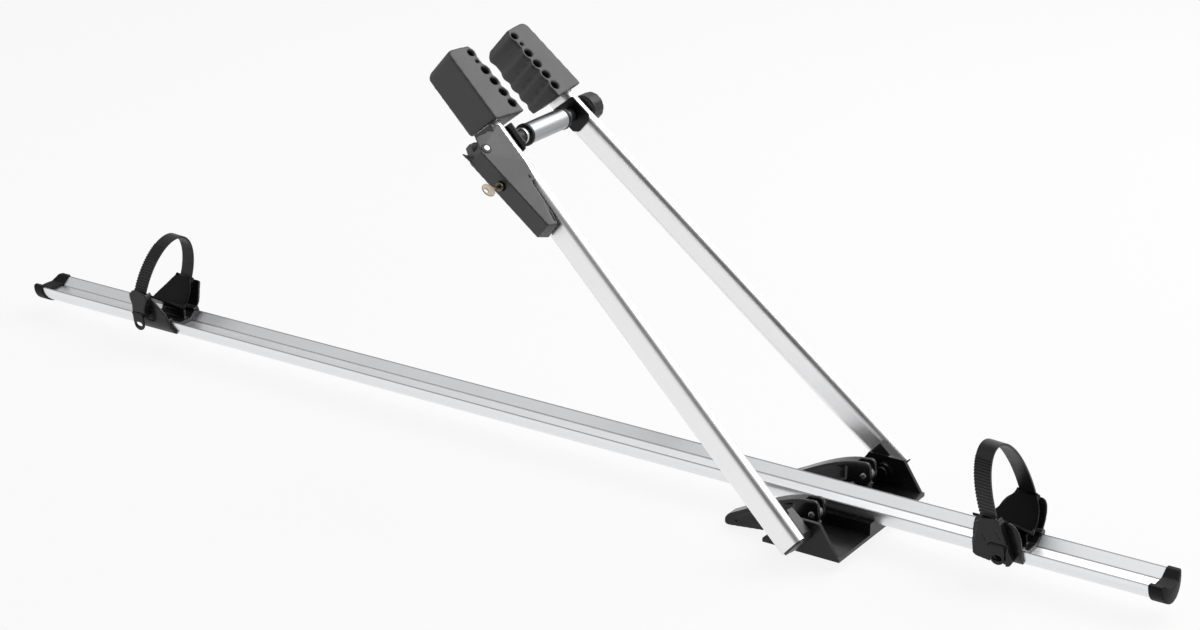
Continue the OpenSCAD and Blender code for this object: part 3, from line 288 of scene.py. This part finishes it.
# Soft edges on the moulded pieces: size of the cells in millimetres, and smoothing passes
MOULDED = {
    "near_jaw": (1.1, 20), "far_jaw": (1.1, 20), "clamp_lever": (0.65, 8), "knob": (0.7, 12),
    "left_end_cap": (0.8, 6), "right_end_cap": (0.8, 6), "near_base_lever": (0.8, 6), "far_base_lever": (0.8, 6),
    "left_saddle": (0.8, 5), "right_saddle": (0.8, 5), "left_tyre_pad": (0.7, 5), "right_tyre_pad": (0.7, 5),
    "left_buckle": (0.6, 7), "right_buckle": (0.6, 7), "left_tab": (0.5, 5), "right_tab": (0.5, 5),
}

# Drawn pieces, and the turn up to which their faces are shaded as one round side
DRAWN = ("near_arm", "far_arm", "rail", "spacer_tube")
ROUND_ANGLE = math.radians(34)

# Points closer than this many millimetres are one point, and faces this nearly flat are one face
WELD_REACH = 0.005
FLAT_ANGLE = math.radians(1.0)


def weld(node):
    join = node.modifiers.new("weld", "WELD")
    join.merge_threshold = WELD_REACH * MM


def round_edges(node, width):
    """Joins a node's triangles, clears the flat ones away and rounds its sharp edges."""
    weld(node)
    flat = node.modifiers.new("flat", "DECIMATE")
    flat.decimate_type = "DISSOLVE"
    flat.angle_limit = FLAT_ANGLE
    edge = node.modifiers.new("edge", "BEVEL")
    edge.width = width * MM
    edge.segments = EDGE_SEGMENTS
    edge.limit_method = "ANGLE"
    edge.angle_limit = EDGE_ANGLE
    edge.miter_outer = "MITER_ARC"
    edge.harden_normals = True


def soften(node, cell, passes):
    """Gives a node the soft edges and corners of a moulding."""
    weld(node)
    skin = node.modifiers.new("skin", "REMESH")
    skin.mode = "VOXEL"
    skin.voxel_size = cell * MM
    skin.use_smooth_shade = True
    smooth = node.modifiers.new("smooth", "SMOOTH")
    smooth.factor = 0.5
    smooth.iterations = passes


def smooth_by_angle(angle):
    """A modifier's nodes that shade faces smooth, and keep the edges that turn further sharp."""
    group = bpy.data.node_groups.new("smooth_by_angle", "GeometryNodeTree")
    for way in ("INPUT", "OUTPUT"):
        group.interface.new_socket("Geometry", in_out=way, socket_type="NodeSocketGeometry")
    start, end = group.nodes.new("NodeGroupInput"), group.nodes.new("NodeGroupOutput")
    faces, edges = [group.nodes.new("GeometryNodeSetShadeSmooth") for _ in range(2)]
    faces.domain, edges.domain = "FACE", "EDGE"
    turn = group.nodes.new("GeometryNodeInputMeshEdgeAngle")
    shallow = group.nodes.new("FunctionNodeCompare")
    shallow.operation = "LESS_THAN"
    shallow.inputs["B"].default_value = angle
    group.links.new(start.outputs[0], faces.inputs["Geometry"])
    group.links.new(faces.outputs[0], edges.inputs["Geometry"])
    group.links.new(turn.outputs[0], shallow.inputs["A"])
    group.links.new(shallow.outputs[0], edges.inputs["Shade Smooth"])
    group.links.new(edges.outputs[0], end.inputs[0])
    return group


def smooth_drawn(node, group):
    """Shades a drawn piece's round sides smooth and keeps its flats flat."""
    weld(node)
    node.modifiers.new("smooth", "NODES").node_group = group
    even = node.modifiers.new("even", "WEIGHTED_NORMAL")
    even.mode = "FACE_AREA"
    even.weight = 100
    even.keep_sharp = True


for name, width in EDGES.items():
    round_edges(nodes[name], width)
round_sides = smooth_by_angle(ROUND_ANGLE)
for name in DRAWN:
    smooth_drawn(nodes[name], round_sides)
for name, (cell, passes) in MOULDED.items():
    soften(nodes[name], cell, passes)


# Small pieces at the clamp lever's pin, in its frame: X across the arm, Y towards it, Z along it, in millimetres

# The pin's middle, in metres in the part's frame, and the turn of the lever's broad face about Z
PIN_PLACE = (-0.363134, -0.099336, 0.343015)
BROAD_FACE_TURN = math.radians(-14.9)

# A dark sheet of painted shade on the near arm's outer side, whose upper end slants as the jaw's lower end does
SHADE_SHEET_SIZE = (24, 2.7, 14)
SHADE_SHEET_MIDDLE = Vector((-3.5, 23.35, 17))
SHADE_SHEET_RISE, SHADE_SHEET_SLANT = 2.2, 0.19
SHADE_SHEET_EDGE = 0.7


def pin_frame():
    across = Vector((math.sin(ARM_TILT), 0, math.cos(ARM_TILT)))
    up = Vector((-math.cos(ARM_TILT), 0, math.sin(ARM_TILT)))
    side = Vector((0, 1, 0))
    inward = math.cos(ARM_LEAN) * side - math.sin(ARM_LEAN) * up
    along = math.sin(ARM_LEAN) * side + math.cos(ARM_LEAN) * up
    place = Matrix((across, inward, along)).transposed().to_4x4()
    place.translation = PIN_PLACE
    return place @ Matrix.Scale(MM, 4)


def link_mesh(name, shape, finish):
    """Makes an object of a finished shape."""
    mesh = bpy.data.meshes.new(name)
    shape.to_mesh(mesh)
    shape.free()
    mesh.materials.append(finish)
    made = bpy.data.objects.new(name, mesh)
    bpy.context.scene.collection.objects.link(made)
    return made


def add_piece(name, shape, width, body, finish):
    """Rounds the edges of a shape drawn at the pin, puts it in place and lets it ride on a body."""
    bmesh.ops.bevel(shape, geom=shape.edges[:], offset=width, segments=EDGE_SEGMENTS, profile=0.5,
                    affect="EDGES", material=-1)
    bmesh.ops.recalc_face_normals(shape, faces=shape.faces)
    bmesh.ops.transform(shape, matrix=pin_frame(), verts=shape.verts)
    piece = link_mesh(name, shape, finish)
    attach(piece, body)


def jaw_shade_sheet():
    """A dark rubber sheet on the arm's outer side, down to the clamp lever: painted shade below the near jaw."""
    shape = bmesh.new()
    bmesh.ops.create_cube(shape, size=1)
    bmesh.ops.scale(shape, vec=SHADE_SHEET_SIZE, verts=shape.verts)
    bmesh.ops.translate(shape, vec=SHADE_SHEET_MIDDLE, verts=shape.verts)
    for corner in shape.verts:
        if corner.co.z > SHADE_SHEET_MIDDLE.z:
            corner.co.z += SHADE_SHEET_RISE - SHADE_SHEET_SLANT * (corner.co.x - SHADE_SHEET_MIDDLE.x)
    add_piece("near_jaw_shade_sheet", shape, SHADE_SHEET_EDGE, "frame_holder", jaw_rubber)


def pin_end(name, radius, start, length, width, finish):
    """A round end on the lever's pin, square to the lever's broad face."""
    shape = bmesh.new()
    bmesh.ops.create_cone(shape, cap_ends=True, segments=40, radius1=radius, radius2=radius, depth=length)
    turn = Matrix.Rotation(BROAD_FACE_TURN, 4, "Z") @ Matrix.Rotation(math.radians(90), 4, "Y")
    bmesh.ops.translate(shape, vec=(0, 0, start + length / 2), verts=shape.verts)
    bmesh.ops.transform(shape, matrix=turn, verts=shape.verts)
    add_piece(name, shape, width, "cam_lever", finish)


jaw_shade_sheet()
pin_end("lever_pin_collar", radius=5.6, start=5.0, length=3.4, width=0.6, finish=gloss_black)
pin_end("lever_pin_end", radius=3.1, start=6.0, length=3.4, width=0.7, finish=zinc_steel)


# Studio: pale floor, grey cards, soft lamps and the photograph's camera

# The floor's half width and the grid it is cut into, in metres, and its drop below the part in millimetres
FLOOR_REACH, FLOOR_CELLS, FLOOR_DROP = 30, 8, 0.5

# How far the floor glows, rather than takes shadows, for the rays that see it, mirror it or pass through
GLOW_SEEN, GLOW_MIRRORED, GLOW_THROUGH = 0.88, 0.80, 0.88


def studio_floor():
    shape = bmesh.new()
    bmesh.ops.create_grid(shape, x_segments=FLOOR_CELLS, y_segments=FLOOR_CELLS, size=FLOOR_REACH)
    bmesh.ops.translate(shape, vec=(0, 0, cad_box[0].z - FLOOR_DROP * MM), verts=shape.verts)
    paper = bpy.data.materials.new("studio_paper")
    paper.use_nodes = True
    paper.node_tree.nodes.clear()
    tree = Shade(paper.node_tree)
    place = tree.node("TexCoord", output="Object")
    rays = tree.node("LightPath")
    matte = tree.node("BsdfDiffuse", {}, {"Color": tree.noise(place, 3.0).blend((0.86,) * 3, (0.90,) * 3)})
    glow = tree.node("Emission", {}, {"Color": (1, 1, 1, 1), "Strength": 1.0})
    share = (GLOW_SEEN * rays.of("Is Camera Ray") + GLOW_MIRRORED * rays.of("Is Glossy Ray")
             + GLOW_THROUGH * rays.of("Is Transmission Ray"))
    tree.node("OutputMaterial", {}, {"Surface": tree.node("MixShader", {}, {0: share, 1: matte, 2: glow})})
    floor = link_mesh("studio_floor", shape, paper)


# Grey cards round the studio: the way each stands, and its grey by how squarely one looks that way
GREYS = [
    ((0.50, -0.72, 0.48), [(0.66, 1.0), (0.95, 0.04)]),
    ((-0.85, 0.45, 0.27), [(0.80, 1.0), (0.90, 0.76), (0.945, 0.48)]),
    ((-0.75, -0.12, 0.65), [(0.86, 1.0), (0.96, 0.66), (0.99, 0.50)]),
]

# The studio's light as it is seen and mirrored, and how much less of it lights dull surfaces
WORLD_LIGHT, DULL_LOSS = 0.94, 0.54


def studio_world():
    world = bpy.data.worlds.new("studio")
    bpy.context.scene.world = world
    world.use_nodes = True
    world.node_tree.nodes.clear()
    tree = Shade(world.node_tree)
    way = tree.node("TexCoord", output="Generated")
    rays = tree.node("LightPath")
    seen = tree.maths("MAXIMUM", rays.of("Is Camera Ray"), rays.of("Is Transmission Ray"))
    shade = None
    for toward, stops in GREYS:
        facing = tree.node("VectorMath", {"operation": "DOT_PRODUCT"}, {0: way, 1: toward}, output="Value")
        grey = tree.node("ValToRGB", {"stops": stops}, {"Fac": facing})
        shade = grey if shade is None else tree.mix(1.0, shade, grey, "MULTIPLY")
    level = seen.blend(shade, (1, 1, 1))
    strength = WORLD_LIGHT - DULL_LOSS * rays.of("Is Diffuse Ray")
    tree.node("OutputWorld", {}, {"Surface": tree.node("Background", {}, {"Color": level, "Strength": strength})})


def soft_lamp(name, place, aim, size, power):
    lamp = bpy.data.lights.new(name, "AREA")
    lamp.shape = "RECTANGLE"
    lamp.size, lamp.size_y = size
    lamp.energy = power
    made = bpy.data.objects.new(name, lamp)
    made.location = place
    made.rotation_euler = (Vector(aim) - Vector(place)).to_track_quat("-Z", "Y").to_euler()
    bpy.context.scene.collection.objects.link(made)


# The camera as fitted to the photograph: its place in metres, its turn and drop, and its lens in millimetres
CAMERA_PLACE = (1.102, -2.1072, 1.1435)
CAMERA_TURN, CAMERA_DROP = math.radians(33.47), math.radians(21.39)
CAMERA_LENS, CAMERA_SENSOR = 79.08, 36
CAMERA_REACH = 200


def photo_camera():
    level = math.cos(CAMERA_DROP)
    ahead = Vector((-math.sin(CAMERA_TURN) * level, math.cos(CAMERA_TURN) * level, -math.sin(CAMERA_DROP)))
    right = Vector((math.cos(CAMERA_TURN), math.sin(CAMERA_TURN), 0))
    lens = bpy.data.cameras.new("photo_camera")
    lens.sensor_width = CAMERA_SENSOR
    lens.lens = CAMERA_LENS
    lens.clip_end = CAMERA_REACH
    camera = bpy.data.objects.new("photo_camera", lens)
    place = Matrix((right, right.cross(ahead), -ahead)).transposed().to_4x4()
    place.translation = CAMERA_PLACE
    camera.matrix_world = place
    bpy.context.scene.collection.objects.link(camera)
    bpy.context.scene.camera = camera


studio_floor()
studio_world()
soft_lamp("top_softbox", place=(0.58, 1.26, 1.92), aim=(-0.2, 0, 0.3), size=(2.8, 2.2), power=48)
soft_lamp("left_softbox", place=(-2.6, -1.8, 1.5), aim=(-0.3, 0, 0.2), size=(1.4, 1.4), power=5)
photo_camera()
bpy.context.scene.view_settings.view_transform = "Standard"
